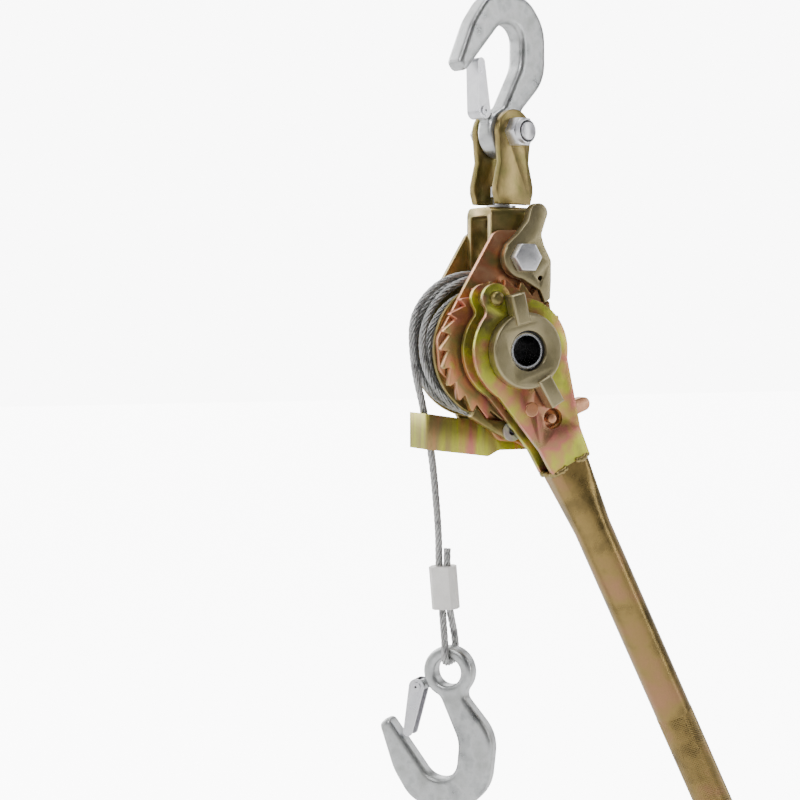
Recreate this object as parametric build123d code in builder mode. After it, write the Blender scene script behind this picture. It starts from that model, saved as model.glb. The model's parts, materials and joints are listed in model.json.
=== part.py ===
from build123d import *

import math
import os

# Come along winch: a hand ratchet winch for steel wire rope, with a swivelling top hook.
# Millimetres. +Z is up and the winch hangs at the origin, the saddle of its top hook.
# The front, where the operator works the handle, faces -Y.

# --- driving dimensions -------------------------------------------------------
HOOK_REACH = 73.3  # eye centre to saddle
HOOK_THICKNESS = 14.0
EYE_RADIUS = 17.5
SWIVEL_ANGLE = 17.0  # how far the clevis stands turned from the frame
BOLT_RADIUS = 6.0  # M12 bolts
BOLT_FLATS = 18.0
RUNNING = 0.08  # radial clearance of a turning fit
GAP = 0.4  # gap between faces that move past each other

CLEVIS_BOLT_Z = -HOOK_REACH
CLEVIS_DEPTH = 26.5
CLEVIS_THICKNESS = 5.0
CLEVIS_DROP = 48.5  # bolt to underside

WASHER_THICKNESS = 2.0
YOKE_TOP_Z = CLEVIS_BOLT_Z - CLEVIS_DROP - WASHER_THICKNESS
YOKE_DEPTH = 36.0
YOKE_WIDTH = 34.0
YOKE_THICKNESS = 6.0
PAWL_BOLT_Z = YOKE_TOP_Z - 34.5

AXLE_X = -13.0
AXLE_Z = PAWL_BOLT_Z - 61.5
PAWL_BOLT = (-AXLE_X, PAWL_BOLT_Z - AXLE_Z)  # seen from the axle
AXLE_RADIUS = 12.0
AXLE_BORE = 9.8
AXLE_FRONT = -60.5
AXLE_REAR = 29.0

PLATE_IN = YOKE_DEPTH / 2
PLATE_THICKNESS = 4.0
PLATE_OUT = PLATE_IN + PLATE_THICKNESS

FLANGE_RADIUS = 46.5
FLANGE_OUT = 17.4
FLANGE_IN = 14.4
HUB_RADIUS = 24.0

TEETH = 24
PITCH = 360 / TEETH
WHEEL_TIP = 46.8
WHEEL_ROOT = 41.3
WHEEL_BACK = 24.0
WHEEL_FRONT = 30.0
DRIVE_TIP = 30.0
DRIVE_ROOT = 26.4
DRIVE_BACK = 39.6
DRIVE_FRONT = 47.6

TIE = (5.0, -54.0)
TIE_RADIUS = 4.5
REAR_TIE = (22.0, -58.0)

HANDLE_ANGLE = -63.4
FORK_BACK = 33.6
FORK_PLATE = 4.0
FORK_FRONT = 53.6
FORK_RADIUS = 34.6
TUBE_RADIUS = 12.7
TUBE_WALL = 2.0
TUBE_START = 84.0
TUBE_END = 430.0
TUBE_DEPTH = -(FORK_BACK + FORK_FRONT) / 2

DISC_RADIUS = 25.0
DISC_BACK = 54.2
DISC_FRONT = 62.9
DISC_BORE = 13.4

ROPE_RADIUS = 2.6
ROPE_LENGTH = 3000.0  # from the drum to its cut end
LOWER_EYE = (-25.4 + AXLE_X, AXLE_Z - 218.0)
LOWER_HOOK_ANGLE = -47.0
LOWER_HOOK_LEAN = 5.5


# --- planes -------------------------------------------------------------------
def facing_front(y, angle=0.0):
    """Plane through the axle's centre at depth y, extruding to the front; x stands at the angle."""
    a = math.radians(angle)
    return Plane(
        origin=(AXLE_X, y, AXLE_Z), x_dir=(math.cos(a), 0, math.sin(a)), z_dir=(0, -1, 0)
    )


def along_handle(y):
    """As facing_front, with x along the handle."""
    return facing_front(y, HANDLE_ANGLE)


def polar(angle, radius):
    """Point at an angle and radius from the axle, seen from the front."""
    a = math.radians(angle)
    return (radius * math.cos(a), radius * math.sin(a))


swivel = math.radians(SWIVEL_ANGLE)
CLEVIS_ACROSS = (math.cos(swivel), math.sin(swivel), 0)
CLEVIS_FRONT = (math.sin(swivel), -math.cos(swivel), 0)
CLEVIS_REAR = (-CLEVIS_FRONT[0], -CLEVIS_FRONT[1], 0)

# The hook's own plane has its eye at the origin and its saddle straight below.
upper_hook_plane = Plane(
    origin=(0, 0, CLEVIS_BOLT_Z), x_dir=CLEVIS_ACROSS, z_dir=CLEVIS_REAR
)
turn = math.radians(LOWER_HOOK_ANGLE)
lean = math.radians(LOWER_HOOK_LEAN)
lower_hook_plane = Plane(
    origin=(LOWER_EYE[0], 0, LOWER_EYE[1]),
    x_dir=(math.cos(turn) * math.cos(lean), math.sin(turn) * math.cos(lean), -math.sin(lean)),
    z_dir=(math.sin(turn), -math.cos(turn), 0),
)
os.makedirs("parts", exist_ok=True)


# --- hooks and their latches --------------------------------------------------
LATCH_PIVOT = (-21.4, -13.7)
LATCH_END = (-24.6, -45.5)
LATCH_WIDTH = 11.6
LATCH_SHEET = 1.4
LATCH_PIN = 2.0
LUG_WIDTH = 7.6
HOOK_EDGE = 3.2
RIM_EDGE = 2.4


def make_hook(plane, eye_hole):
    """Forged hook: an eye, a neck, a deep back and a throat that ends in a blunt tip."""
    with BuildPart() as hook:
        with BuildSketch(plane) as outline:
            with BuildLine():
                FilletPolyline(
                    (6, -8),
                    (37, -38),
                    (36.5, -74),
                    (20, -93.5),
                    (-17, -93.5),
                    (-33, -73),
                    (-46, -44),
                    (-40, -37),
                    (-6, -HOOK_REACH),
                    (12.5, -HOOK_REACH),
                    (12.5, -46),
                    (-8, -10),
                    radius=[2, 28, 28, 24, 24, 40, 3.6, 3.6, 14, 12, 22, 2],
                    close=True,
                )
            make_face()
            Circle(EYE_RADIUS)
            corners = outline.vertices()
            neck = [corners.sort_by_distance(side)[0] for side in ((12, -13), (-9, -15))]
            fillet(neck, radius=6)
        extrude(amount=HOOK_THICKNESS / 2, both=True)
        flats = hook.faces().filter_by(Axis((0, 0, 0), plane.z_dir))
        fillet(flats.edges(), radius=HOOK_EDGE)
        with BuildSketch(plane):
            Circle(eye_hole)
        extrude(amount=HOOK_THICKNESS, both=True, mode=Mode.SUBTRACT)
        rim = hook.edges().filter_by(GeomType.CIRCLE)
        rim = rim.filter_by(lambda e: abs(e.radius - eye_hole) < 0.01)
        fillet(rim, radius=RIM_EDGE)
        with BuildSketch(plane):
            with Locations(LATCH_PIVOT):
                Circle(3.6)
            with Locations((-11.5, -8.3)):
                Circle(3.5)
            make_hull()
        extrude(amount=LUG_WIDTH / 2, both=True)
        with BuildSketch(plane):
            with Locations(LATCH_PIVOT):
                Circle(LATCH_PIN)
        extrude(amount=HOOK_THICKNESS, both=True, mode=Mode.SUBTRACT)
    return hook.part


def make_latch(plane):
    """Pressed safety latch: a channel whose web faces out and whose cheeks straddle the lug."""
    with BuildPart() as latch:
        with BuildSketch(plane):
            with Locations(LATCH_PIVOT):
                Circle(5.4)
            with Locations(LATCH_END):
                Circle(3.2)
            make_hull()
        extrude(amount=LATCH_WIDTH / 2, both=True)
        with BuildSketch(plane):
            with Locations((LATCH_PIVOT[0] + 1.6, LATCH_PIVOT[1])):
                Circle(5.6)
            with Locations((LATCH_END[0] + 2.6, LATCH_END[1])):
                Circle(4.2)
            with Locations((LATCH_PIVOT[0] + 14, LATCH_PIVOT[1] + 8)):
                Circle(12)
            make_hull()
        extrude(amount=LATCH_WIDTH / 2 - LATCH_SHEET, both=True, mode=Mode.SUBTRACT)
        with BuildSketch(plane):
            with Locations(LATCH_PIVOT):
                Circle(LATCH_PIN + RUNNING)
        extrude(amount=LATCH_WIDTH, both=True, mode=Mode.SUBTRACT)
    return latch.part


def make_latch_pin(plane):
    """Tubular rivet with a rolled head at each end."""
    with BuildPart() as pin:
        for side in (1, -1):
            with BuildSketch(plane.offset(side * (LATCH_WIDTH / 2 + 0.15))):
                with Locations(LATCH_PIVOT):
                    Circle(3.2)
            extrude(amount=side * 0.9)
        with BuildSketch(plane):
            with Locations(LATCH_PIVOT):
                Circle(LATCH_PIN)
        extrude(amount=LATCH_WIDTH / 2 + 1, both=True)
        with BuildSketch(plane):
            with Locations(LATCH_PIVOT):
                Circle(0.9)
        extrude(amount=LATCH_WIDTH, both=True, mode=Mode.SUBTRACT)
    return pin.part


for place, plane, eye_hole in (
    ("upper", upper_hook_plane, BOLT_RADIUS + RUNNING),
    ("lower", lower_hook_plane, 9.4),
):
    hook = make_hook(plane, eye_hole)
    hook.label = f"{place}_hook"
    export_step(hook, f"parts/{place}_hook.step")
    latch = make_latch(plane)
    latch.label = f"{place}_latch"
    export_step(latch, f"parts/{place}_latch.step")
    pin = make_latch_pin(plane)
    pin.label = f"{place}_latch_pin"
    export_step(pin, f"parts/{place}_latch_pin.step")

# --- clevis, swivel and the hook's bolt ----------------------------------------
with BuildPart() as clevis:
    with BuildSketch(Plane(upper_hook_plane.origin, x_dir=CLEVIS_ACROSS, z_dir=CLEVIS_FRONT)):
        Circle(15.5)
        with BuildLine():
            Polyline((-15.5, 0), (15.5, 0), (13.2, -20), (17.5, -36), (17.5, -41))
            Polyline((17.5, -41), (15, -CLEVIS_DROP), (-15, -CLEVIS_DROP), (-17.5, -41))
            Polyline((-17.5, -41), (-17.5, -36), (-13.2, -20), (-15.5, 0))
        make_face()
    extrude(amount=CLEVIS_DEPTH / 2, both=True)
    with BuildSketch(Plane(upper_hook_plane.origin, x_dir=CLEVIS_FRONT, z_dir=CLEVIS_ACROSS)):
        with Locations((0, 20)):
            RectangleRounded(CLEVIS_DEPTH, 2 * (20 + CLEVIS_DROP), 6)
        with Locations((0, 20)):
            RectangleRounded(
                CLEVIS_DEPTH - 2 * CLEVIS_THICKNESS,
                2 * (20 + CLEVIS_DROP - CLEVIS_THICKNESS),
                3,
                mode=Mode.SUBTRACT,
            )
    extrude(amount=30, both=True, mode=Mode.INTERSECT)
    with BuildSketch(Plane(upper_hook_plane.origin, x_dir=CLEVIS_ACROSS, z_dir=CLEVIS_FRONT)):
        Circle(BOLT_RADIUS + RUNNING)
    extrude(amount=CLEVIS_DEPTH, both=True, mode=Mode.SUBTRACT)
    with BuildSketch(Plane.XY.offset(CLEVIS_BOLT_Z - CLEVIS_DROP - 1)):
        Circle(BOLT_RADIUS + RUNNING)
    extrude(amount=CLEVIS_THICKNESS + 2, mode=Mode.SUBTRACT)
clevis.part.label = "clevis"
export_step(clevis.part, "parts/clevis.step")


def bolt(plane, grip, end_out, label):
    """M12 hex bolt: its shank runs back from the plane, where its head sits, out past the grip."""
    with BuildPart() as made:
        with BuildSketch(plane):
            RegularPolygon(BOLT_FLATS / 2, 6, major_radius=False)
        extrude(amount=7.5)
        chamfered_head = made.faces().sort_by(Axis(plane.origin, plane.z_dir))[-1]
        chamfer(chamfered_head.edges(), length=0.7)
        with BuildSketch(plane):
            Circle(BOLT_RADIUS)
        extrude(amount=-(grip + end_out))
    made.part.label = label
    export_step(made.part, f"parts/{label}.step")


def nut(plane, label):
    """M12 lock nut that sits on the plane, with the domed collar that holds its insert."""
    with BuildPart() as made:
        with BuildSketch(plane):
            RegularPolygon(BOLT_FLATS / 2, 6, major_radius=False)
        extrude(amount=8.5)
        with BuildSketch(plane.offset(8.5)):
            Circle(8.6)
        extrude(amount=3, taper=12)
        with BuildSketch(plane):
            Circle(BOLT_RADIUS)
        extrude(amount=14, mode=Mode.SUBTRACT)
        with BuildSketch(plane.offset(10)):
            Circle(7.4)
        extrude(amount=3, mode=Mode.SUBTRACT)
    made.part.label = label
    export_step(made.part, f"parts/{label}.step")


def nut_insert(plane, label):
    """Nylon ring held in the nut's collar."""
    with BuildPart() as made:
        with BuildSketch(plane.offset(10)):
            Circle(7.4)
            Circle(BOLT_RADIUS, mode=Mode.SUBTRACT)
        extrude(amount=1.1)
    made.part.label = label
    export_step(made.part, f"parts/{label}.step")


clevis_half = CLEVIS_DEPTH / 2
bolt_head = Plane(
    origin=(-CLEVIS_FRONT[0] * clevis_half, -CLEVIS_FRONT[1] * clevis_half, CLEVIS_BOLT_Z),
    x_dir=CLEVIS_ACROSS,
    z_dir=CLEVIS_REAR,
)
bolt_end = Plane(
    origin=(CLEVIS_FRONT[0] * clevis_half, CLEVIS_FRONT[1] * clevis_half, CLEVIS_BOLT_Z),
    x_dir=CLEVIS_ACROSS,
    z_dir=CLEVIS_FRONT,
)
bolt(bolt_head, CLEVIS_DEPTH, 13, "clevis_bolt")
nut(bolt_end, "clevis_nut")
nut_insert(bolt_end, "clevis_nut_insert")

STUD_HEAD = 7.5
stud_seat = CLEVIS_BOLT_Z - CLEVIS_DROP + CLEVIS_THICKNESS + GAP
with BuildPart() as swivel_stud:
    with BuildSketch(Plane.XY.offset(stud_seat)):
        RegularPolygon(7, 6, major_radius=False)
    extrude(amount=STUD_HEAD)
    chamfer(swivel_stud.faces().sort_by(Axis.Z)[-1].edges(), length=0.8)
    with BuildSketch(Plane.XY.offset(stud_seat)):
        Circle(BOLT_RADIUS)
    extrude(amount=YOKE_TOP_Z - YOKE_THICKNESS - 10 - stud_seat)
swivel_stud.part.label = "swivel_stud"
export_step(swivel_stud.part, "parts/swivel_stud.step")

with BuildPart() as swivel_washer:
    with BuildSketch(Plane.XY.offset(YOKE_TOP_Z)):
        Circle(10)
        Circle(BOLT_RADIUS + RUNNING, mode=Mode.SUBTRACT)
    extrude(amount=WASHER_THICKNESS - GAP)
swivel_washer.part.label = "swivel_washer"
export_step(swivel_washer.part, "parts/swivel_washer.step")

with BuildPart() as swivel_nut:
    with BuildSketch(Plane.XY.offset(YOKE_TOP_Z - YOKE_THICKNESS)):
        RegularPolygon(BOLT_FLATS / 2, 6, major_radius=False)
        Circle(BOLT_RADIUS, mode=Mode.SUBTRACT)
    extrude(amount=-8)
    chamfer(swivel_nut.faces().sort_by(Axis.Z)[0].outer_wire().edges(), length=0.7)
swivel_nut.part.label = "swivel_nut"
export_step(swivel_nut.part, "parts/swivel_nut.step")

# --- frame: yoke, two side plates and what ties them ---------------------------
YOKE_DROP = 46.5
with BuildPart() as yoke:
    with BuildSketch(Plane(origin=(0, 0, YOKE_TOP_Z), x_dir=(1, 0, 0), z_dir=(0, -1, 0))):
        with Locations((0, -YOKE_DROP / 2)):
            Rectangle(YOKE_WIDTH, YOKE_DROP)
    extrude(amount=YOKE_DEPTH / 2, both=True)
    with BuildSketch(Plane(origin=(0, 0, YOKE_TOP_Z), x_dir=(0, 1, 0), z_dir=(1, 0, 0))):
        with Locations((0, -YOKE_DROP)):
            RectangleRounded(YOKE_DEPTH, 2 * YOKE_DROP, 6)
        with Locations((0, -YOKE_DROP - YOKE_THICKNESS)):
            RectangleRounded(
                YOKE_DEPTH - 2 * YOKE_THICKNESS, 2 * YOKE_DROP, 2.5, mode=Mode.SUBTRACT
            )
    extrude(amount=YOKE_WIDTH, both=True, mode=Mode.INTERSECT)
    foot_corners = yoke.edges().filter_by(Axis.Y).group_by(Axis.Z)[0]
    fillet(foot_corners, radius=8)
    with BuildSketch(facing_front(0)):
        with Locations(PAWL_BOLT):
            Circle(BOLT_RADIUS)
    extrude(amount=YOKE_DEPTH, both=True, mode=Mode.SUBTRACT)
    with BuildSketch(Plane.XY.offset(YOKE_TOP_Z + 1)):
        Circle(BOLT_RADIUS)
    extrude(amount=-YOKE_THICKNESS - 2, mode=Mode.SUBTRACT)
yoke.part.label = "yoke"
export_step(yoke.part, "parts/yoke.step")

for name, inner in (("front_plate", -PLATE_IN), ("rear_plate", PLATE_OUT)):
    with BuildPart() as plate:
        with BuildSketch(facing_front(inner)):
            with BuildLine():
                FilletPolyline(
                    (-3, 80),
                    (29, 80),
                    (33.5, 62),
                    (34.5, -66),
                    (20.5, -66),
                    (13, -62),
                    (-2, -60.5),
                    (-13, -42),
                    (-44, -14),
                    (-46, 8),
                    radius=[8, 9, 12, 5, 5, 6, 9, 10, 10, 12],
                    close=True,
                )
            make_face()
            Circle(AXLE_RADIUS + RUNNING, mode=Mode.SUBTRACT)
            with Locations(PAWL_BOLT):
                Circle(BOLT_RADIUS, mode=Mode.SUBTRACT)
            with Locations(TIE):
                Circle(TIE_RADIUS, mode=Mode.SUBTRACT)
            with Locations(REAR_TIE):
                Circle(TIE_RADIUS - 1, mode=Mode.SUBTRACT)
        extrude(amount=PLATE_THICKNESS)
    plate.part.label = name
    export_step(plate.part, f"parts/{name}.step")

pawl_bolt_plane = Plane(
    origin=(0, -(WHEEL_FRONT + GAP + 1.6), PAWL_BOLT_Z), x_dir=(1, 0, 0), z_dir=(0, -1, 0)
)
bolt(pawl_bolt_plane, WHEEL_FRONT + GAP + 1.6 + PLATE_OUT, 13, "pawl_bolt")
pawl_nut_plane = Plane(origin=(0, PLATE_OUT, PAWL_BOLT_Z), x_dir=(1, 0, 0), z_dir=(0, 1, 0))
nut(pawl_nut_plane, "pawl_bolt_nut")
nut_insert(pawl_nut_plane, "pawl_nut_insert")

with BuildPart() as pawl_spacer:
    with BuildSketch(facing_front(-PLATE_OUT)):
        with Locations(PAWL_BOLT):
            Circle(10.5)
            Circle(BOLT_RADIUS, mode=Mode.SUBTRACT)
    extrude(amount=1.6)
pawl_spacer.part.label = "pawl_washer"
export_step(pawl_spacer.part, "parts/pawl_washer.step")

with BuildPart() as lower_tie:
    with BuildSketch(facing_front(PLATE_OUT + 2)):
        with Locations(TIE):
            Circle(TIE_RADIUS)
    extrude(amount=PLATE_OUT + 2 + WHEEL_FRONT + 2)
    for start, thickness in ((PLATE_OUT + 1.6, 1.6), (-WHEEL_FRONT - GAP, 1.6)):
        with BuildSketch(facing_front(start)):
            with Locations(TIE):
                Circle(TIE_RADIUS + 2.2)
        extrude(amount=thickness)
    with BuildSketch(facing_front(PLATE_OUT + 3)):
        with Locations(TIE):
            Circle(TIE_RADIUS - 1.6)
    extrude(amount=80, mode=Mode.SUBTRACT)
lower_tie.part.label = "lower_tie"
export_step(lower_tie.part, "parts/lower_tie.step")

with BuildPart() as rear_tie:
    with BuildSketch(facing_front(PLATE_OUT)):
        with Locations(REAR_TIE):
            Circle(TIE_RADIUS - 1)
    extrude(amount=2 * PLATE_OUT)
    for start, side in ((PLATE_OUT, -1), (-PLATE_OUT, 1)):
        with BuildSketch(facing_front(start)):
            with Locations(REAR_TIE):
                Circle(TIE_RADIUS + 1)
        extrude(amount=side * 1.8)
rear_tie.part.label = "rear_tie"
export_step(rear_tie.part, "parts/rear_tie.step")

# Cable guide: a strap bent round the rope, its two legs riveted between the side plates.
GUIDE_LEFT = -50.0
GUIDE_HALF = 14.5
GUIDE_SHEET = 2.4
LEG_OUT = PLATE_IN
with BuildPart() as rope_guide:
    with BuildSketch(Plane(origin=(AXLE_X, 0, AXLE_Z - 80), x_dir=(1, 0, 0), z_dir=(0, 0, 1))):
        with BuildLine():
            FilletPolyline(
                (30, -LEG_OUT),
                (-9.5, -LEG_OUT),
                (-12.5, -GUIDE_HALF),
                (GUIDE_LEFT, -GUIDE_HALF),
                (GUIDE_LEFT, GUIDE_HALF),
                (-12.5, GUIDE_HALF),
                (-9.5, LEG_OUT),
                (30, LEG_OUT),
                radius=[2, 2, 3, 3, 2, 2],
            )
            offset(amount=GUIDE_SHEET, side=Side.RIGHT)
        make_face()
    extrude(amount=50)
    with BuildSketch(facing_front(0)):
        with BuildLine():
            FilletPolyline(
                (GUIDE_LEFT - 3, -41.5),
                (-14, -47.2),
                (6, -47.6),
                (28, -51),
                (28, -67.5),
                (2, -67.5),
                (-6, -71.5),
                (GUIDE_LEFT - 3, -65.5),
                radius=[1, 6, 6, 3, 3, 6, 4, 1],
                close=True,
            )
        make_face()
    extrude(amount=40, both=True, mode=Mode.INTERSECT)
    with BuildSketch(facing_front(0)):
        with Locations(TIE):
            Circle(TIE_RADIUS)
        with Locations(REAR_TIE):
            Circle(TIE_RADIUS - 1)
    extrude(amount=40, both=True, mode=Mode.SUBTRACT)
rope_guide.part.label = "rope_guide"
export_step(rope_guide.part, "parts/rope_guide.step")

# --- drum, axle and ratchet wheels ---------------------------------------------
with BuildPart() as drum:
    with BuildSketch(facing_front(FLANGE_OUT)):
        Circle(FLANGE_RADIUS)
    extrude(amount=FLANGE_OUT - FLANGE_IN)
    with BuildSketch(facing_front(-FLANGE_IN)):
        Circle(FLANGE_RADIUS)
    extrude(amount=FLANGE_OUT - FLANGE_IN)
    rims = drum.edges().filter_by(GeomType.CIRCLE)
    fillet(rims, radius=1)
    with BuildSketch(facing_front(FLANGE_OUT)):
        Circle(HUB_RADIUS)
    extrude(amount=2 * FLANGE_OUT)
    with BuildSketch(facing_front(FLANGE_OUT)):
        Circle(AXLE_RADIUS)
    extrude(amount=2 * FLANGE_OUT, mode=Mode.SUBTRACT)
drum.part.label = "drum"
export_step(drum.part, "parts/drum.step")

RING_GROOVE = 0.8
RING_WIDTH = 1.4
FRONT_RING = -58.4
REAR_RING = 26.2
with BuildPart() as axle_tube:
    with BuildSketch(facing_front(AXLE_REAR)):
        Circle(AXLE_RADIUS)
    extrude(amount=AXLE_REAR - AXLE_FRONT)
    chamfer(axle_tube.edges().filter_by(GeomType.CIRCLE), length=0.8)
    with BuildSketch(facing_front(AXLE_REAR)):
        Circle(AXLE_BORE)
    extrude(amount=AXLE_REAR - AXLE_FRONT, mode=Mode.SUBTRACT)
    for start in (FRONT_RING, REAR_RING):
        with BuildSketch(facing_front(start)):
            Circle(AXLE_RADIUS + 1)
            Circle(AXLE_RADIUS - RING_GROOVE, mode=Mode.SUBTRACT)
        extrude(amount=RING_WIDTH, mode=Mode.SUBTRACT)
axle_tube.part.label = "axle_tube"
export_step(axle_tube.part, "parts/axle_tube.step")

for name, start in (("front_retaining_ring", FRONT_RING), ("rear_retaining_ring", REAR_RING)):
    with BuildPart() as ring:
        with BuildSketch(facing_front(start)):
            Circle(AXLE_RADIUS + 1)
            Circle(AXLE_RADIUS - RING_GROOVE, mode=Mode.SUBTRACT)
            with Locations((0, -AXLE_RADIUS)):
                Rectangle(5, 8, mode=Mode.SUBTRACT)
        extrude(amount=RING_WIDTH)
    ring.part.label = name
    export_step(ring.part, f"parts/{name}.step")

for name, start, end, radius in (
    ("plate_washer", -PLATE_OUT - GAP, -WHEEL_BACK, 18),
    ("fork_washer", -WHEEL_FRONT, -FORK_BACK + GAP, 18),
    ("rear_washer", REAR_RING - RING_WIDTH, PLATE_OUT + GAP, 19),
    ("drive_washer_rear", -FORK_BACK - FORK_PLATE - GAP, -DRIVE_BACK, 17),
    ("drive_washer_front", -DRIVE_FRONT, -FORK_FRONT + FORK_PLATE + GAP, 17),
):
    with BuildPart() as washer:
        with BuildSketch(facing_front(start)):
            Circle(radius)
            Circle(AXLE_RADIUS, mode=Mode.SUBTRACT)
        extrude(amount=start - end)
    washer.part.label = name
    export_step(washer.part, f"parts/{name}.step")


def make_wheel(tip, root, back, front):
    """Ratchet wheel: teeth rise slowly as they run round and drop along a radius."""
    with BuildPart() as wheel:
        with BuildSketch(facing_front(-back)):
            Circle(root)
            for tooth in range(TEETH):
                end = tooth * PITCH
                with BuildLine():
                    Polyline(
                        polar(end, root - 1),
                        polar(end, tip),
                        polar(end - 2, tip),
                        polar(end - PITCH, root + 0.1),
                        polar(end - PITCH, root - 1),
                        close=True,
                    )
                make_face()
            Circle(AXLE_RADIUS, mode=Mode.SUBTRACT)
        extrude(amount=front - back)
    return wheel.part


holding_wheel = make_wheel(WHEEL_TIP, WHEEL_ROOT, WHEEL_BACK, WHEEL_FRONT)
holding_wheel.label = "holding_wheel"
export_step(holding_wheel, "parts/holding_wheel.step")
drive_wheel = make_wheel(DRIVE_TIP, DRIVE_ROOT, DRIVE_BACK, DRIVE_FRONT)
drive_wheel.label = "drive_wheel"
export_step(drive_wheel, "parts/drive_wheel.step")

# --- pawls ---------------------------------------------------------------------
TOOTH_CLEARANCE = 0.6


def pawl_end(pivot, angle, tip, root):
    """Three points on a pawl's end face, struck from its pivot so that it lifts without rubbing."""
    outer = polar(angle, tip + TOOTH_CLEARANCE)
    swing = math.dist(pivot, outer)
    reach = math.hypot(*pivot)
    bearing = math.atan2(pivot[1], pivot[0])
    side = math.atan2(outer[1] - pivot[1], outer[0] - pivot[0]) - bearing
    side = math.copysign(1, math.sin(side))
    points = []
    for distance in (tip + 1.4, (tip + root) / 2 + 0.8, root + 1.8):
        fold = math.acos((distance**2 - reach**2 - swing**2) / (2 * reach * swing))
        points.append(
            (
                pivot[0] + swing * math.cos(bearing + side * fold),
                pivot[1] + swing * math.sin(bearing + side * fold),
            )
        )
    return points


HOLDING_NOSE = 45.6
holding_end = pawl_end(PAWL_BOLT, HOLDING_NOSE, WHEEL_TIP, WHEEL_ROOT)
with BuildPart() as holding_pawl:
    with BuildSketch(facing_front(-WHEEL_BACK)) as face:
        with BuildLine():
            ThreePointArc(*holding_end)
            Polyline(
                holding_end[2],
                polar(HOLDING_NOSE + 11.5, WHEEL_TIP + TOOTH_CLEARANCE),
                polar(HOLDING_NOSE + 16, WHEEL_TIP + TOOTH_CLEARANCE),
                (2, 53),
                (1, 70),
                (10, 78),
                (16.5, 86),
                (18.6, 93),
                (31.2, 90),
                (26.8, 77),
                (29, 70),
                (34.4, 60),
                (34.4, 46),
                holding_end[0],
            )
        make_face()
        with Locations((24.9, 91.5)):
            Circle(6.6)
        with Locations(PAWL_BOLT):
            Circle(14)
        bends = (((26.8, 77), 6), ((10, 78), 7), ((2, 53), 7), ((34.4, 60), 5))
        for corner, radius in bends:
            fillet(face.vertices().sort_by_distance(corner)[0], radius=radius)
        with Locations(PAWL_BOLT):
            Circle(BOLT_RADIUS + RUNNING, mode=Mode.SUBTRACT)
        with Locations((26, 48)):
            Circle(1.6, mode=Mode.SUBTRACT)
    extrude(amount=WHEEL_FRONT + 1.6 - WHEEL_BACK)
holding_pawl.part.label = "holding_pawl"
export_step(holding_pawl.part, "parts/holding_pawl.step")

LOWER_NOSE = 240.6
lower_end = pawl_end(TIE, LOWER_NOSE, WHEEL_TIP, WHEEL_ROOT)
with BuildPart() as lower_pawl:
    with BuildSketch(facing_front(-WHEEL_BACK)):
        with BuildLine():
            ThreePointArc(*lower_end)
            heel = polar(LOWER_NOSE + 11.5, WHEEL_TIP + TOOTH_CLEARANCE)
            shank = polar(LOWER_NOSE + 32, WHEEL_TIP + TOOTH_CLEARANCE)
            Line(lower_end[2], heel)
            ThreePointArc(heel, polar(LOWER_NOSE + 22, WHEEL_TIP + TOOTH_CLEARANCE), shank)
            Polyline(shank, (4, -60), (-7, -54.6), polar(LOWER_NOSE, 50.8), lower_end[0])
        make_face()
        with Locations(TIE):
            Circle(6.4)
            Circle(TIE_RADIUS + RUNNING, mode=Mode.SUBTRACT)
    extrude(amount=WHEEL_FRONT - WHEEL_BACK)
lower_pawl.part.label = "lower_pawl"
export_step(lower_pawl.part, "parts/lower_pawl.step")

DRIVE_PIVOT = (7.4, -38.7)
DRIVE_PIN = 3.0
DRIVE_NOSE = 255.7
DETENT = (23.5, -45.0)
DETENT_HOLE = 7.0
TAB_END = (50.8, -36.0)
drive_end = pawl_end(DRIVE_PIVOT, DRIVE_NOSE, DRIVE_TIP, DRIVE_ROOT)
with BuildPart() as drive_pawl:
    with BuildSketch(facing_front(-DRIVE_BACK - 0.2)):
        with BuildLine():
            ThreePointArc(*drive_end)
            Polyline(
                drive_end[2],
                polar(DRIVE_NOSE + 10.5, DRIVE_TIP + TOOTH_CLEARANCE),
                polar(DRIVE_NOSE + 20, DRIVE_TIP + TOOTH_CLEARANCE),
                (7.4, -34),
                (7.4, -44.6),
                (-6, -38.5),
                drive_end[0],
            )
        make_face()
        with Locations(DRIVE_PIVOT):
            Circle(6.2)
    extrude(amount=DRIVE_FRONT - DRIVE_BACK - 0.4)
    for start, end in ((DRIVE_PIVOT, DETENT), (DETENT, TAB_END)):
        with BuildSketch(facing_front(-DRIVE_BACK - 0.2)):
            with Locations(start):
                Circle(6.2)
            with Locations(end):
                Circle(4.6)
            make_hull()
        extrude(amount=DRIVE_FRONT - DRIVE_BACK - 0.4)
    with BuildSketch(facing_front(-DRIVE_FRONT)):
        with Locations(DETENT):
            Circle(3)
    extrude(amount=FORK_FRONT - DRIVE_FRONT - 0.8)
    with BuildSketch(facing_front(-DRIVE_BACK)):
        with Locations(DRIVE_PIVOT):
            Circle(DRIVE_PIN + RUNNING)
    extrude(amount=DRIVE_FRONT - DRIVE_BACK, mode=Mode.SUBTRACT)
drive_pawl.part.label = "drive_pawl"
export_step(drive_pawl.part, "parts/drive_pawl.step")

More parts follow.
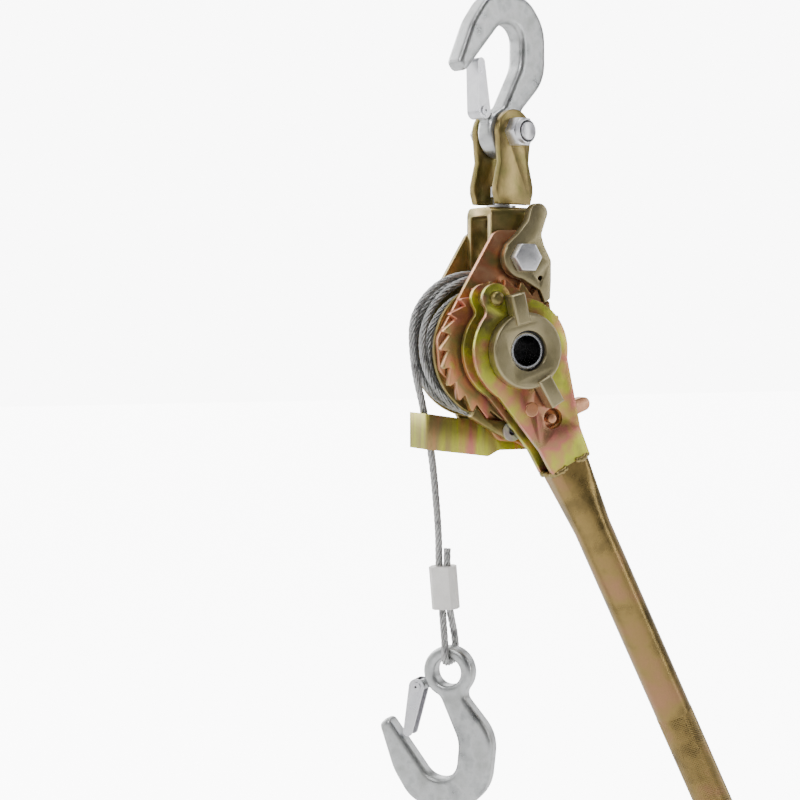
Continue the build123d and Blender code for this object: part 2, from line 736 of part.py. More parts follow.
# --- handle: two fork plates welded to a tube ------------------------------------
EAR = (-38.8, -1.6)  # along and across the handle
handle_turn = math.radians(HANDLE_ANGLE)
EAR_RIVET = (
    EAR[0] * math.cos(handle_turn) - EAR[1] * math.sin(handle_turn),
    EAR[0] * math.sin(handle_turn) + EAR[1] * math.cos(handle_turn),
)
EAR_RADIUS = 10.0
for name, start in (("rear_fork_plate", -FORK_BACK), ("front_fork_plate", FORK_PLATE - FORK_FRONT)):
    with BuildPart() as fork:
        with BuildSketch(along_handle(start)) as face:
            Circle(FORK_RADIUS)
            with Locations(EAR):
                Circle(EAR_RADIUS)
            with BuildLine():
                Polyline(
                    (8, 33.6),
                    (20, 28.4),
                    (66, 16.8),
                    (TUBE_START, 15.6),
                    (TUBE_START, -15.6),
                    (66, -16.8),
                    (20, -28.4),
                    (8, -33.6),
                    close=True,
                )
            make_face()
            for corner in ((-31, 15), (-31, -13)):
                fillet(face.vertices().sort_by_distance(corner)[0], radius=5)
            Circle(AXLE_RADIUS + RUNNING, mode=Mode.SUBTRACT)
        extrude(amount=FORK_PLATE)
        with BuildSketch(facing_front(-FORK_BACK)):
            with Locations(EAR_RIVET, DRIVE_PIVOT):
                Circle(DRIVE_PIN)
            if name == "front_fork_plate":
                with Locations(DETENT):
                    Circle(DETENT_HOLE)
        extrude(amount=FORK_FRONT - FORK_BACK, mode=Mode.SUBTRACT)
    fork.part.label = name
    export_step(fork.part, f"parts/{name}.step")

for name, centre in (("ear_rivet", EAR_RIVET), ("drive_pawl_pin", DRIVE_PIVOT)):
    with BuildPart() as rivet:
        with BuildSketch(facing_front(GAP - FORK_BACK)):
            with Locations(centre):
                Circle(DRIVE_PIN + 1)
        extrude(amount=GAP)
        with BuildSketch(facing_front(-FORK_BACK)):
            with Locations(centre):
                Circle(DRIVE_PIN)
        extrude(amount=FORK_FRONT - FORK_BACK + 0.2)
        with BuildSketch(facing_front(-FORK_FRONT)):
            with Locations(centre):
                Circle(4.8)
        extrude(amount=0.8 if name == "drive_pawl_pin" else 3.4)
        head = rivet.faces().sort_by(Axis.Y)[0]
        fillet(head.edges(), radius=0.5 if name == "drive_pawl_pin" else 3)
    rivet.part.label = name
    export_step(rivet.part, f"parts/{name}.step")

# Distance spacer round the ear rivet, and the pawl's coiled spring round its pin.
for name, centre, start, end, outer in (
    ("ear_spacer", EAR_RIVET, -FORK_BACK - FORK_PLATE, FORK_PLATE - FORK_FRONT, 5.5),
    ("drive_pawl_spring", DRIVE_PIVOT, -DRIVE_FRONT - 0.2, FORK_PLATE - FORK_FRONT, 5),
):
    with BuildPart() as sleeve:
        with BuildSketch(facing_front(start)):
            with Locations(centre):
                Circle(outer)
                Circle(DRIVE_PIN, mode=Mode.SUBTRACT)
        extrude(amount=start - end)
    sleeve.part.label = name
    export_step(sleeve.part, f"parts/{name}.step")


def across_handle(distance):
    """Plane square to the tube at a distance from the axle, facing out along the handle."""
    a = math.radians(HANDLE_ANGLE)
    return Plane(
        origin=(AXLE_X + distance * math.cos(a), TUBE_DEPTH, AXLE_Z + distance * math.sin(a)),
        x_dir=(-math.sin(a), 0, math.cos(a)),
        z_dir=(math.cos(a), 0, math.sin(a)),
    )


ROUND_START = 134.0
FLAT_WIDTH = 31.2
FLAT_DEPTH = FORK_FRONT - FORK_BACK
with BuildPart() as handle_tube:
    with BuildSketch(across_handle(TUBE_START)):
        RectangleRounded(FLAT_WIDTH, FLAT_DEPTH, 6)
    with BuildSketch(across_handle(ROUND_START)):
        Circle(TUBE_RADIUS)
    loft()
    with BuildSketch(across_handle(TUBE_START)):
        RectangleRounded(FLAT_WIDTH - 2 * TUBE_WALL, FLAT_DEPTH - 2 * TUBE_WALL, 4)
    with BuildSketch(across_handle(ROUND_START)):
        Circle(TUBE_RADIUS - TUBE_WALL)
    loft(mode=Mode.SUBTRACT)
    with BuildSketch(across_handle(ROUND_START)):
        Circle(TUBE_RADIUS)
        Circle(TUBE_RADIUS - TUBE_WALL, mode=Mode.SUBTRACT)
    extrude(amount=TUBE_END - ROUND_START)
handle_tube.part.label = "handle_tube"
export_step(handle_tube.part, "parts/handle_tube.step")

with BuildPart() as end_plug:
    with BuildSketch(across_handle(TUBE_END)):
        Circle(TUBE_RADIUS)
    extrude(amount=2.4)
    fillet(end_plug.edges().filter_by(GeomType.CIRCLE).sort_by(Axis.Z)[0], radius=1.5)
    with BuildSketch(across_handle(TUBE_END)):
        Circle(TUBE_RADIUS - TUBE_WALL)
    extrude(amount=-14)
end_plug.part.label = "end_plug"
export_step(end_plug.part, "parts/end_plug.step")

# --- release disc ----------------------------------------------------------------
LUG_FRONT = 66.0
DISC_STEP = 58.0
with BuildPart() as release_disc:
    with BuildSketch(facing_front(-DISC_BACK)):
        Circle(DISC_RADIUS)
    extrude(amount=DISC_FRONT - DISC_BACK)
    fillet(release_disc.faces().sort_by(Axis.Y)[0].edges(), radius=1.6)
    for angle, start, end, width in ((104, 18, 38, 10), (301, 21, 41, 10)):
        with BuildSketch(facing_front(-DISC_BACK - 1, angle)):
            with Locations(((start + end) / 2, 0)):
                Rectangle(end - start, width)
        extrude(amount=LUG_FRONT - DISC_BACK - 1)
        lug_top = release_disc.faces(Select.LAST).sort_by(Axis.Y)[0]
        chamfer(lug_top.edges(), length=1.0)
    with BuildSketch(facing_front(-DISC_BACK)):
        Circle(AXLE_RADIUS + RUNNING)
    extrude(amount=LUG_FRONT - DISC_BACK, mode=Mode.SUBTRACT)
    with BuildSketch(facing_front(-DISC_STEP)):
        Circle(DISC_BORE)
    extrude(amount=LUG_FRONT - DISC_STEP, mode=Mode.SUBTRACT)
release_disc.part.label = "release_disc"
export_step(release_disc.part, "parts/release_disc.step")

# --- wire rope, its ferrule and the loop through the lower hook --------------------
COIL_RADIUS = 50.0
COIL_CENTRE = (-9.0, 1.0)
COIL_HALF = 13.8
LEG_SPREAD = 10.2
LEG_IN_FERRULE = 2.7
FOLD_RADIUS = 5.2
FOLD_HEIGHT = 6.3  # the rope rests against the top of the lower eye
IN_FERRULE = 1.5

across_eye = (math.cos(turn), math.sin(turn), 0)
through_eye = (math.sin(turn), -math.cos(turn), 0)


def from_axle(x, y, z, across=0.0, through=0.0):
    """Point given from the axle, moved across the lower hook's plane and through it."""
    return (
        AXLE_X + x + across * across_eye[0] + through * through_eye[0],
        y + across * across_eye[1] + through * through_eye[1],
        AXLE_Z + z,
    )


ferrule_top = from_axle(-31.2, 0, -146.0)
ferrule_bottom = from_axle(-28.6, 0, -175.0)
ferrule_height = math.dist(ferrule_top, ferrule_bottom)
ferrule_plane = Plane(
    origin=ferrule_top,
    x_dir=across_eye,
    z_dir=tuple(b - a for a, b in zip(ferrule_top, ferrule_bottom)),
)
with BuildPart() as ferrule:
    with BuildSketch(ferrule_plane):
        block = Rectangle(18, 12)
        chamfer(block.vertices(), length=3)
    extrude(amount=ferrule_height)
ferrule.part.label = "ferrule"
export_step(ferrule.part, "parts/ferrule.step")

with BuildPart() as rope_coil:
    with BuildSketch(facing_front(COIL_HALF)):
        with Locations(COIL_CENTRE):
            Circle(COIL_RADIUS)
        Circle(HUB_RADIUS + GAP, mode=Mode.SUBTRACT)
    extrude(amount=2 * COIL_HALF)
    fillet(rope_coil.edges().filter_by(GeomType.CIRCLE).group_by(SortBy.RADIUS)[-1], radius=5)
rope_coil.part.label = "rope_coil"
export_step(rope_coil.part, "parts/rope_coil.step")


def rope(route, folds, label):
    """Rope along straight runs joined by arcs."""
    radii = []
    for before, corner, after in zip(route, route[1:], route[2:]):
        arriving = Vector(*corner) - Vector(*before)
        leaving = Vector(*after) - Vector(*corner)
        half_turn = math.radians(arriving.get_angle(leaving)) / 2
        widest = 0.45 * min(arriving.length, leaving.length) / math.tan(half_turn)
        radii.append(folds.get(corner, widest))
    print(label, "radii", [round(radius, 1) for radius in radii])
    with BuildPart() as made:
        with BuildLine() as path:
            FilletPolyline(*route, radius=radii)
        with BuildSketch(Plane(origin=path.line @ 0, z_dir=path.line % 0)):
            Circle(ROPE_RADIUS)
        sweep()
    length = sum(edge.length for edge in path.edges())
    print(label, "length", round(length, 1))
    made.part.label = label
    export_step(made.part, f"parts/{label}.step")
    return length


run_length = rope(
    (
        from_axle(-50.5, 0, -8),
        from_axle(-47, 0, -29.6),
        from_axle(-43.5, 0, -50),
        from_axle(-39.4, 0, -70.6),
        from_axle(-36.5, 0, -97),
        from_axle(-34.3, 0, -123.1),
        from_axle(-31.2, 0, -146.0 - IN_FERRULE, across=-LEG_IN_FERRULE),
    ),
    {},
    "rope_run",
)
near_fold = from_axle(-25.4, 0, -218 + FOLD_HEIGHT, through=LEG_SPREAD)
far_fold = from_axle(-25.4, 0, -218 + FOLD_HEIGHT, through=-LEG_SPREAD)
near_knee = from_axle(-25.4, 0, -197.5, through=LEG_SPREAD)
far_knee = from_axle(-25.4, 0, -197.5, through=-LEG_SPREAD)
loop_length = rope(
    (
        from_axle(-28.6, 0, -175.0 + IN_FERRULE, across=-LEG_IN_FERRULE),
        near_knee,
        near_fold,
        far_fold,
        far_knee,
        from_axle(-28.6, 0, -175.0 + IN_FERRULE, across=LEG_IN_FERRULE),
    ),
    {near_fold: FOLD_RADIUS, far_fold: FOLD_RADIUS, near_knee: 20.0, far_knee: 20.0},
    "rope_loop",
)
tail_bottom = from_axle(-31.2, 0, -146.0 - IN_FERRULE, across=LEG_IN_FERRULE)
tail_top = from_axle(-30.8, 0, -131.5, across=LEG_IN_FERRULE + 0.4)
with BuildPart() as rope_tail:
    tail_direction = tuple(b - a for a, b in zip(tail_bottom, tail_top))
    with BuildSketch(Plane(origin=tail_bottom, z_dir=tail_direction)):
        Circle(ROPE_RADIUS)
    extrude(amount=math.dist(tail_bottom, tail_top))
rope_tail.part.label = "rope_tail"
export_step(rope_tail.part, "parts/rope_tail.step")

section = math.pi * ROPE_RADIUS**2
coil_length = ROPE_LENGTH - run_length - loop_length - math.dist(tail_bottom, tail_top)
print("rope wound on the drum", round(coil_length), "mm")
print("rope_coil volume", round(rope_coil.part.volume), "rope in it", round(section * coil_length))
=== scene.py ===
# %% [markdown]
# # Come along winch
# A hand winch for pulling and lifting: a top hook on a swivel, two side plates round a drum of
# wire rope, a ratchet wheel with its pawls, a lever handle and a load hook on a crimped loop.
# The imported CAD model gives every part its true size and place. This notebook adds what CAD
# leaves plain: the stranded rope, forged hooks, rounded sheet edges, a knurled grip, a weld,
# and a plated finish on every part. One unit here is a metre.

# %% [markdown]
# ## Load the frame
# Every CAD part comes in at its true place. The axle is the point that most others are
# measured from.

import json
import math
import random

import bmesh
import bpy
from mathutils import Matrix, Vector

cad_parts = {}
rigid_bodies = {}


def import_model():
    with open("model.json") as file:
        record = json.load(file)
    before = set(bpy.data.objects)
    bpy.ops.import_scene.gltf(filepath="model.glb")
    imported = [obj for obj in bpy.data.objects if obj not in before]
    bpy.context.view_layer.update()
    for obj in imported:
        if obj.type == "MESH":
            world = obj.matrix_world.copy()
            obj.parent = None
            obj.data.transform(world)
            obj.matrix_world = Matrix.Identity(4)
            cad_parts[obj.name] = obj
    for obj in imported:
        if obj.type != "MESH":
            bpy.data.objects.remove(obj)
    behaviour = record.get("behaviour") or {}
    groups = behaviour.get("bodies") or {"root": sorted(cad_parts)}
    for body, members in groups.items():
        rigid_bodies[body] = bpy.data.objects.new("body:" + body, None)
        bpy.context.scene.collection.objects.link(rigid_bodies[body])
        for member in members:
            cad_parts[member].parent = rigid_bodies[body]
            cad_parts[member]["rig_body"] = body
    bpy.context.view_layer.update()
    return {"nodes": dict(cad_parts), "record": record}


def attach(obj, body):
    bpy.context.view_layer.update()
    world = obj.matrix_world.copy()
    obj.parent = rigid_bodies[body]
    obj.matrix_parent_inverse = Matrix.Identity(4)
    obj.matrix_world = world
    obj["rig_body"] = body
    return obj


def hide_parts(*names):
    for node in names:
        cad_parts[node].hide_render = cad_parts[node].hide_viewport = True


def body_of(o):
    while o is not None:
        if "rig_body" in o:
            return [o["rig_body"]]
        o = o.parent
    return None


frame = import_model()
nodes = frame["nodes"]
MM = 0.001
AXLE = Vector((-13.0, 0.0, -219.8)) * MM
print("parts loaded:", len(nodes))

# %% [markdown]
# ## Camera
# The winch is seen from its front left, almost level. A long lens keeps the plates close to
# their true shape. The camera is turned to frame the object, so its shift stays at zero.

# %% Camera
VIEW_TARGET = Vector((-76.0, 0.0, -253.0)) * MM
VIEW_ANGLE = math.radians(-25)
VIEW_HEIGHT = math.radians(2.5)
VIEW_DISTANCE = 1.25
VIEW_WIDTH = 0.533

camera_data = bpy.data.cameras.new("camera")
camera = bpy.data.objects.new("camera", camera_data)
bpy.context.scene.collection.objects.link(camera)
towards = Vector(
    (
        math.sin(VIEW_ANGLE) * math.cos(VIEW_HEIGHT),
        -math.cos(VIEW_ANGLE) * math.cos(VIEW_HEIGHT),
        math.sin(VIEW_HEIGHT),
    )
)
camera.location = VIEW_TARGET + towards * VIEW_DISTANCE
camera.rotation_euler = (-towards).to_track_quat("-Z", "Y").to_euler()
camera_data.angle = 2 * math.atan(VIEW_WIDTH / 2 / VIEW_DISTANCE)
camera_data.clip_start = 0.01
bpy.context.scene.camera = camera
print("camera at", [round(c, 3) for c in camera.location])

# %% [markdown]
# ## The rope's line
# A real rope is one length, here three metres, from the drum to its cut end. It fills the
# drum in tight layers, lies loose in its last three turns, leaves on the left, passes the
# guide and the ferrule,
# folds round the eye of the load hook and comes back up through the ferrule. One NURBS
# spline carries all of it, so the strands can follow it later without a break.

# %% The rope's line
ROPE_RADIUS = 2.6 * MM
LAYERS = ((27.4, 4), (33.2, 4), (39.0, 1.34))  # radius and turns
LOOSE = ((45.3, (-4.0, 2.5), 8.5), (45.5, (-5.0, 3.5), -6.5), (46.5, (-9.5, 5.0), 1.0))
POINTS_PER_TURN = 18
SIDE = 10.4
TURN_PITCH = 5.2
LEAVES_AT = 188.0


def on_drum(angle, radius, depth, centre=(0.0, 0.0)):
    """Point at an angle and radius from the axle, seen from the front, in metres."""
    a = math.radians(angle)
    x = centre[0] + radius * math.cos(a)
    z = centre[1] + radius * math.sin(a)
    return AXLE + Vector((x, depth, z)) * MM


def ease(value):
    """Smooth step from 0 to 1."""
    value = min(max(value, 0.0), 1.0)
    return value * value * (3 - 2 * value)


def wound_points():
    """Tight layers, then three loose turns that bulge to the side where the rope leaves."""
    tight = sum(turns for radius, turns in LAYERS)
    start = LEAVES_AT - 360 * (tight + len(LOOSE))
    radii = [radius for radius, turns in LAYERS] + [LOOSE[0][0]]
    points = []
    done = 0.0
    for number, (radius, turns) in enumerate(LAYERS):
        side = SIDE if number % 2 else -SIDE
        steps = round(turns * POINTS_PER_TURN)
        for step in range(steps):
            turn = step / POINTS_PER_TURN
            depth = side - math.copysign(TURN_PITCH * turn, side)
            lift = ease((turn - turns + 0.35) / 0.35)
            reach = radius + (radii[number + 1] - radius) * lift
            points.append(on_drum(start + 360 * (done + turn), reach, depth))
        done += steps / POINTS_PER_TURN
    before = (LOOSE[0][0], (0.0, 0.0), depth)
    for radius, centre, depth in LOOSE:
        for step in range(POINTS_PER_TURN):
            share = ease(step / POINTS_PER_TURN / 0.7)
            middle = [b + (c - b) * share for b, c in zip(before[1], centre)]
            reach = before[0] + (radius - before[0]) * share
            across = before[2] + (depth - before[2]) * share
            angle = start + 360 * (done + step / POINTS_PER_TURN)
            points.append(on_drum(angle, reach, across, middle))
        done += 1
        before = (radius, centre, depth)
    return points


HOOK_TURN = math.radians(-47)
ACROSS = Vector((math.cos(HOOK_TURN), math.sin(HOOK_TURN), 0.0))
THROUGH = Vector((math.sin(HOOK_TURN), -math.cos(HOOK_TURN), 0.0))


def from_axle(x, z, across=0.0, through=0.0):
    """Point given from the axle, moved across the load hook's plane and through it."""
    return AXLE + Vector((x, 0.0, z)) * MM + (ACROSS * across + THROUGH * through) * MM


run_points = [
    from_axle(-52.6, -13),
    from_axle(-47.6, -31),
    from_axle(-43.5, -50),
    from_axle(-39.4, -70.6),
    from_axle(-36.5, -97),
    from_axle(-34.3, -123.1),
    from_axle(-31.2, -143.0, across=-2.7),
    from_axle(-30.6, -153.0, across=-2.7),
    from_axle(-29.0, -171.0, across=-2.7),
    from_axle(-28.4, -177.5, across=-2.7),
    from_axle(-25.4, -197.5, through=10.2),
    from_axle(-25.4, -206.0, through=10.2),
    from_axle(-25.4, -211.5, through=10.0),
    from_axle(-25.4, -211.5, through=-10.0),
    from_axle(-25.4, -206.0, through=-10.2),
    from_axle(-25.4, -197.5, through=-10.2),
    from_axle(-28.4, -177.5, across=2.7),
    from_axle(-29.0, -171.0, across=2.7),
    from_axle(-31.2, -146.0, across=2.7),
    from_axle(-30.8, -131.5, across=3.1),
]
rope_points = wound_points() + run_points
line_data = bpy.data.curves.new("rope_line", "CURVE")
line_data.dimensions = "3D"
line_data.resolution_u = 5
spline = line_data.splines.new("NURBS")
spline.points.add(len(rope_points) - 1)
for point, place in zip(spline.points, rope_points):
    point.co = (*place, 1.0)
spline.order_u = 3
spline.use_endpoint_u = True
bare_line = bpy.data.objects.new("rope_line", line_data)
line_mesh = bpy.data.meshes.new_from_object(bare_line)
rope_line = [vertex.co.copy() for vertex in line_mesh.vertices]
bpy.data.objects.remove(bare_line)

# %% [markdown]
# ## Strands
# Wire rope is six strands laid in a helix round a core. Each strand could be a separate
# tube, and here they are six splines of one curve with a round bevel, turned into one mesh.
# Their line is the rope's line plus a small circle that turns once in every lay length. The
# circle's direction is carried from point to point, so it never flips.

# %% Strands
LAY_LENGTH = 30.0 * MM
STRANDS = 6
STRAND_RADIUS = 0.93 * MM
STRAND_OFFSET = ROPE_RADIUS - STRAND_RADIUS
STRAND_STEP = 2.6 * MM


def evenly(line, step):
    """The line again, in points one step apart."""
    points, left = [line[0].copy()], step
    for a, b in zip(line, line[1:]):
        length = (b - a).length
        while left <= length:
            points.append(a.lerp(b, left / length))
            left += step
        left -= length
    return points


def frames(line):
    """Direction and a carried side vector at each point of a line."""
    result = []
    side = None
    for index, point in enumerate(line):
        ahead = line[min(index + 1, len(line) - 1)] - line[max(index - 1, 0)]
        ahead.normalize()
        if side is None:
            side = ahead.orthogonal()
        side = (side - ahead * side.dot(ahead)).normalized()
        result.append((point, ahead, side))
    return result


def clear_selection():
    """Leaves object mode with nothing selected."""
    if bpy.context.mode != "OBJECT":
        bpy.ops.object.mode_set(mode="OBJECT")
    bpy.ops.object.select_all(action="DESELECT")


def select(obj):
    """Makes one object the selected and active one."""
    clear_selection()
    obj.select_set(True)
    bpy.context.view_layer.objects.active = obj


rope_frames = frames(evenly(rope_line, STRAND_STEP))
strand_data = bpy.data.curves.new("rope", "CURVE")
strand_data.dimensions = "3D"
strand_data.bevel_depth = STRAND_RADIUS
strand_data.bevel_resolution = 1
strand_data.use_fill_caps = True
for strand in range(STRANDS):
    line = strand_data.splines.new("POLY")
    line.points.add(len(rope_frames) - 1)
    for index, (point, ahead, side) in enumerate(rope_frames):
        angle = 2 * math.pi * (strand / STRANDS + index * STRAND_STEP / LAY_LENGTH)
        up = ahead.cross(side)
        place = point + (side * math.cos(angle) + up * math.sin(angle)) * STRAND_OFFSET
        line.points[index].co = (*place, 1.0)
rope = bpy.data.objects.new("rope", strand_data)
bpy.context.scene.collection.objects.link(rope)
select(rope)
bpy.ops.object.convert(target="MESH")
rope = bpy.context.object
bpy.ops.object.shade_smooth()
print("rope faces", len(rope.data.polygons))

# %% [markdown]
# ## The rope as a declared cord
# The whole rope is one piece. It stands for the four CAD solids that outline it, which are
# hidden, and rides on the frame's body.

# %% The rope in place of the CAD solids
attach(rope, "frame")
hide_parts("rope_coil", "rope_run", "rope_loop", "rope_tail")

# %% [markdown]
# ## Softened edges
# Stamped sheet, cast wheels and turned pins all have slightly rounded edges that catch the
# light. Each such part could be bevelled by its material alone, but the outline would stay
# sharp. Here a merged copy of the part is bevelled for real and stands in its place.

# %% Softened edges
EDGES = {
    "clevis": 0.8,
    "clevis_bolt": 0.5,
    "clevis_nut": 0.5,
    "drive_pawl": 0.6,
    "drive_wheel": 0.5,
    "end_plug": 0.5,
    "front_fork_plate": 0.7,
    "front_plate": 0.7,
    "holding_pawl": 0.7,
    "holding_wheel": 0.5,
    "lower_pawl": 0.6,
    "pawl_bolt": 0.5,
    "pawl_bolt_nut": 0.5,
    "rear_fork_plate": 0.7,
    "rear_plate": 0.7,
    "release_disc": 0.8,
    "rope_guide": 0.7,
    "yoke": 0.8,
}


def shaped_copy(name, flat=1.0):
    """A merged copy of a CAD part, with its flat faces made whole."""
    obj = bpy.data.objects.new(name + "_shaped", nodes[name].data.copy())
    bpy.context.scene.collection.objects.link(obj)
    select(obj)
    bpy.ops.object.mode_set(mode="EDIT")
    bpy.ops.mesh.select_all(action="SELECT")
    bpy.ops.mesh.remove_doubles(threshold=0.01 * MM)
    bpy.ops.mesh.dissolve_limited(angle_limit=math.radians(flat))
    bpy.ops.object.mode_set(mode="OBJECT")
    return obj


def stands_for(obj, name):
    """The shaped piece rides on the part's body and is shown in its place."""
    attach(obj, body_of_part[name])
    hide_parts(name)


def apply_modifier(obj, kind, **settings):
    """Adds one modifier with these settings and applies it."""
    modifier = obj.modifiers.new(kind.lower(), kind)
    for setting, value in settings.items():
        setattr(modifier, setting, value)
    select(obj)
    bpy.ops.object.modifier_apply(modifier=modifier.name)


slot_of_part = {part["node"]: part["material_slot"] for part in frame["record"]["subparts"]}
body_of_part = {name: body_of(obj)[0] for name, obj in nodes.items()}
shaped = {}
for name, width in EDGES.items():
    obj = shaped_copy(name)
    apply_modifier(
        obj,
        "BEVEL",
        width=width * MM,
        segments=2,
        limit_method="ANGLE",
        angle_limit=math.radians(40),
        use_clamp_overlap=True,
    )
    select(obj)
    bpy.ops.object.shade_smooth_by_angle(angle=math.radians(35))
    stands_for(obj, name)
    shaped[name] = obj
print("softened:", len(shaped))

# %% [markdown]
# ## Forged hooks
# A drop forging is round everywhere, and its surface is faintly uneven. A voxel remesh turns
# the CAD hook into an even skin, and smoothing then rounds every edge of it.

# %% Forged hooks
for name in ("upper_hook", "lower_hook"):
    obj = shaped_copy(name, flat=0.1)
    apply_modifier(obj, "REMESH", mode="VOXEL", voxel_size=0.8 * MM)
    apply_modifier(obj, "SMOOTH", factor=0.5, iterations=14)
    select(obj)
    bpy.ops.object.shade_smooth()
    stands_for(obj, name)
    shaped[name] = obj
    print(name, len(obj.data.polygons), "faces")

# %% [markdown]
# ## Knurled grip
# The lower part of the lever is rolled with a diamond knurl. It could be a bump pattern, but
# its outline shows, so it is a sleeve of small pyramids: a grid on a cylinder is poked, its
# old edges are dissolved to leave diamonds, and each diamond is poked again to a low point.

# %% Knurled grip
HANDLE_ANGLE = math.radians(-63.4)
ALONG = Vector((math.cos(HANDLE_ANGLE), 0.0, math.sin(HANDLE_ANGLE)))
TUBE_AXIS = AXLE + Vector((0.0, -43.6, 0.0)) * MM
TUBE_RADIUS = 12.7
KNURL_FROM = 281.0
KNURL_TO = 424.0
KNURL_ROWS = 72
KNURL_COLUMNS = 40
KNURL_HEIGHT = 0.35


def point_on_tube(distance):
    """Point on the lever's centre line at a distance from the axle, in metres."""
    return TUBE_AXIS + ALONG * distance * MM


def along_tube(mesh):
    """Turns a mesh modelled along Z, with its foot at the origin, onto the lever."""
    turn = ALONG.to_track_quat("Z", "Y").to_matrix().to_4x4()
    mesh.transform(Matrix.Translation(TUBE_AXIS) @ turn)


clear_selection()
bpy.ops.mesh.primitive_circle_add(
    vertices=KNURL_COLUMNS, radius=TUBE_RADIUS * MM, location=(0, 0, KNURL_FROM * MM)
)
knurl = bpy.context.object
knurl.name = "grip_knurl"
bpy.ops.object.transform_apply()
bpy.ops.object.mode_set(mode="EDIT")
bpy.ops.mesh.select_all(action="SELECT")
step = (KNURL_TO - KNURL_FROM) / KNURL_ROWS * MM
for row in range(KNURL_ROWS):
    bpy.ops.mesh.extrude_edges_move(TRANSFORM_OT_translate={"value": (0, 0, step)})
bpy.ops.mesh.select_all(action="SELECT")
bpy.ops.mesh.normals_make_consistent(inside=False)
bpy.ops.mesh.poke()
bpy.ops.mesh.select_all(action="DESELECT")
bpy.ops.mesh.select_mode(type="EDGE")
weave = bmesh.from_edit_mesh(knurl.data)
for edge in weave.edges:
    run = edge.verts[1].co - edge.verts[0].co
    upright = abs(run.z) > 0.99 * run.length
    level = abs(run.z) < 0.01 * run.length
    edge.select_set((upright or level) and not edge.is_boundary)
bmesh.update_edit_mesh(knurl.data)
bpy.ops.mesh.dissolve_edges(use_verts=False)
bpy.ops.mesh.select_mode(type="FACE")
bpy.ops.mesh.select_all(action="SELECT")
bpy.ops.mesh.poke(offset=KNURL_HEIGHT * MM)
bpy.ops.object.mode_set(mode="OBJECT")
along_tube(knurl.data)
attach(knurl, body_of_part["handle_tube"])
print("knurl faces", len(knurl.data.polygons))

# %% [markdown]
# ## Weld
# The two fork plates are welded to the lever's flattened neck all round. A bead of weld is a
# row of overlapping drops. Small balls are set along the joint, each a little off the line,
# and a voxel remesh runs them together.

# %% Weld
WELD_AT = 85.0
NECK_WIDTH = 15.4
NECK_DEPTH = 9.8
DROPS = 46
DROP_SCATTER = 0.8
DROP_SIZES = (1.7, 2.3)
NECK_SQUARENESS = 0.4
ACROSS_TUBE = Vector((-math.sin(HANDLE_ANGLE), 0.0, math.cos(HANDLE_ANGLE)))


def squared(value):
    """Pushes a sine or cosine outwards, so a circle becomes a rounded rectangle."""
    return math.copysign(abs(value) ** NECK_SQUARENESS, value)


random.seed(7)
clear_selection()
drops = []
for drop in range(DROPS):
    angle = 2 * math.pi * drop / DROPS
    place = point_on_tube(WELD_AT + random.uniform(-DROP_SCATTER, DROP_SCATTER))
    place += ACROSS_TUBE * NECK_WIDTH * MM * squared(math.cos(angle))
    place += Vector((0.0, 1.0, 0.0)) * NECK_DEPTH * MM * squared(math.sin(angle))
    bpy.ops.mesh.primitive_ico_sphere_add(
        subdivisions=2, radius=random.uniform(*DROP_SIZES) * MM, location=place
    )
    drops.append(bpy.context.object)
clear_selection()
for drop in drops:
    drop.select_set(True)
weld = drops[0]
bpy.context.view_layer.objects.active = weld
bpy.ops.object.join()
bpy.ops.object.transform_apply()
weld.name = "weld_bead"
apply_modifier(weld, "REMESH", mode="VOXEL", voxel_size=0.35 * MM)
apply_modifier(weld, "SMOOTH", factor=0.5, iterations=5)
select(weld)
bpy.ops.object.shade_smooth()
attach(weld, body_of_part["handle_tube"])
print("weld faces", len(weld.data.polygons))

# %% [markdown]
# ## Finishes
# Nearly every part is plated steel, so one recipe serves them all: a slow cloudy pattern
# picks the colour along a ramp, a fine one varies the roughness and the bump, and bare
# brighter metal shows where a bevel finds an edge. Image textures would need painting and
# UV maps, while these patterns read the object's own coordinates and fit any shape.


# %% Plating recipe
def node(tree, kind, **inputs):
    """Adds a shader node and fills its inputs by name."""
    made = tree.nodes.new(kind)
    for name, value in inputs.items():
        made.inputs[name.replace("_", " ")].default_value = value
    return made


def ramp(tree, stops):
    """Colour ramp with evenly spaced stops."""
    made = tree.nodes.new("ShaderNodeValToRGB")
    elements = made.color_ramp.elements
    while len(elements) < len(stops):
        elements.new(0.5)
    for index, colour in enumerate(stops):
        elements[index].position = 0.3 + 0.4 * index / (len(stops) - 1)
        elements[index].color = (*colour, 1.0)
    return made


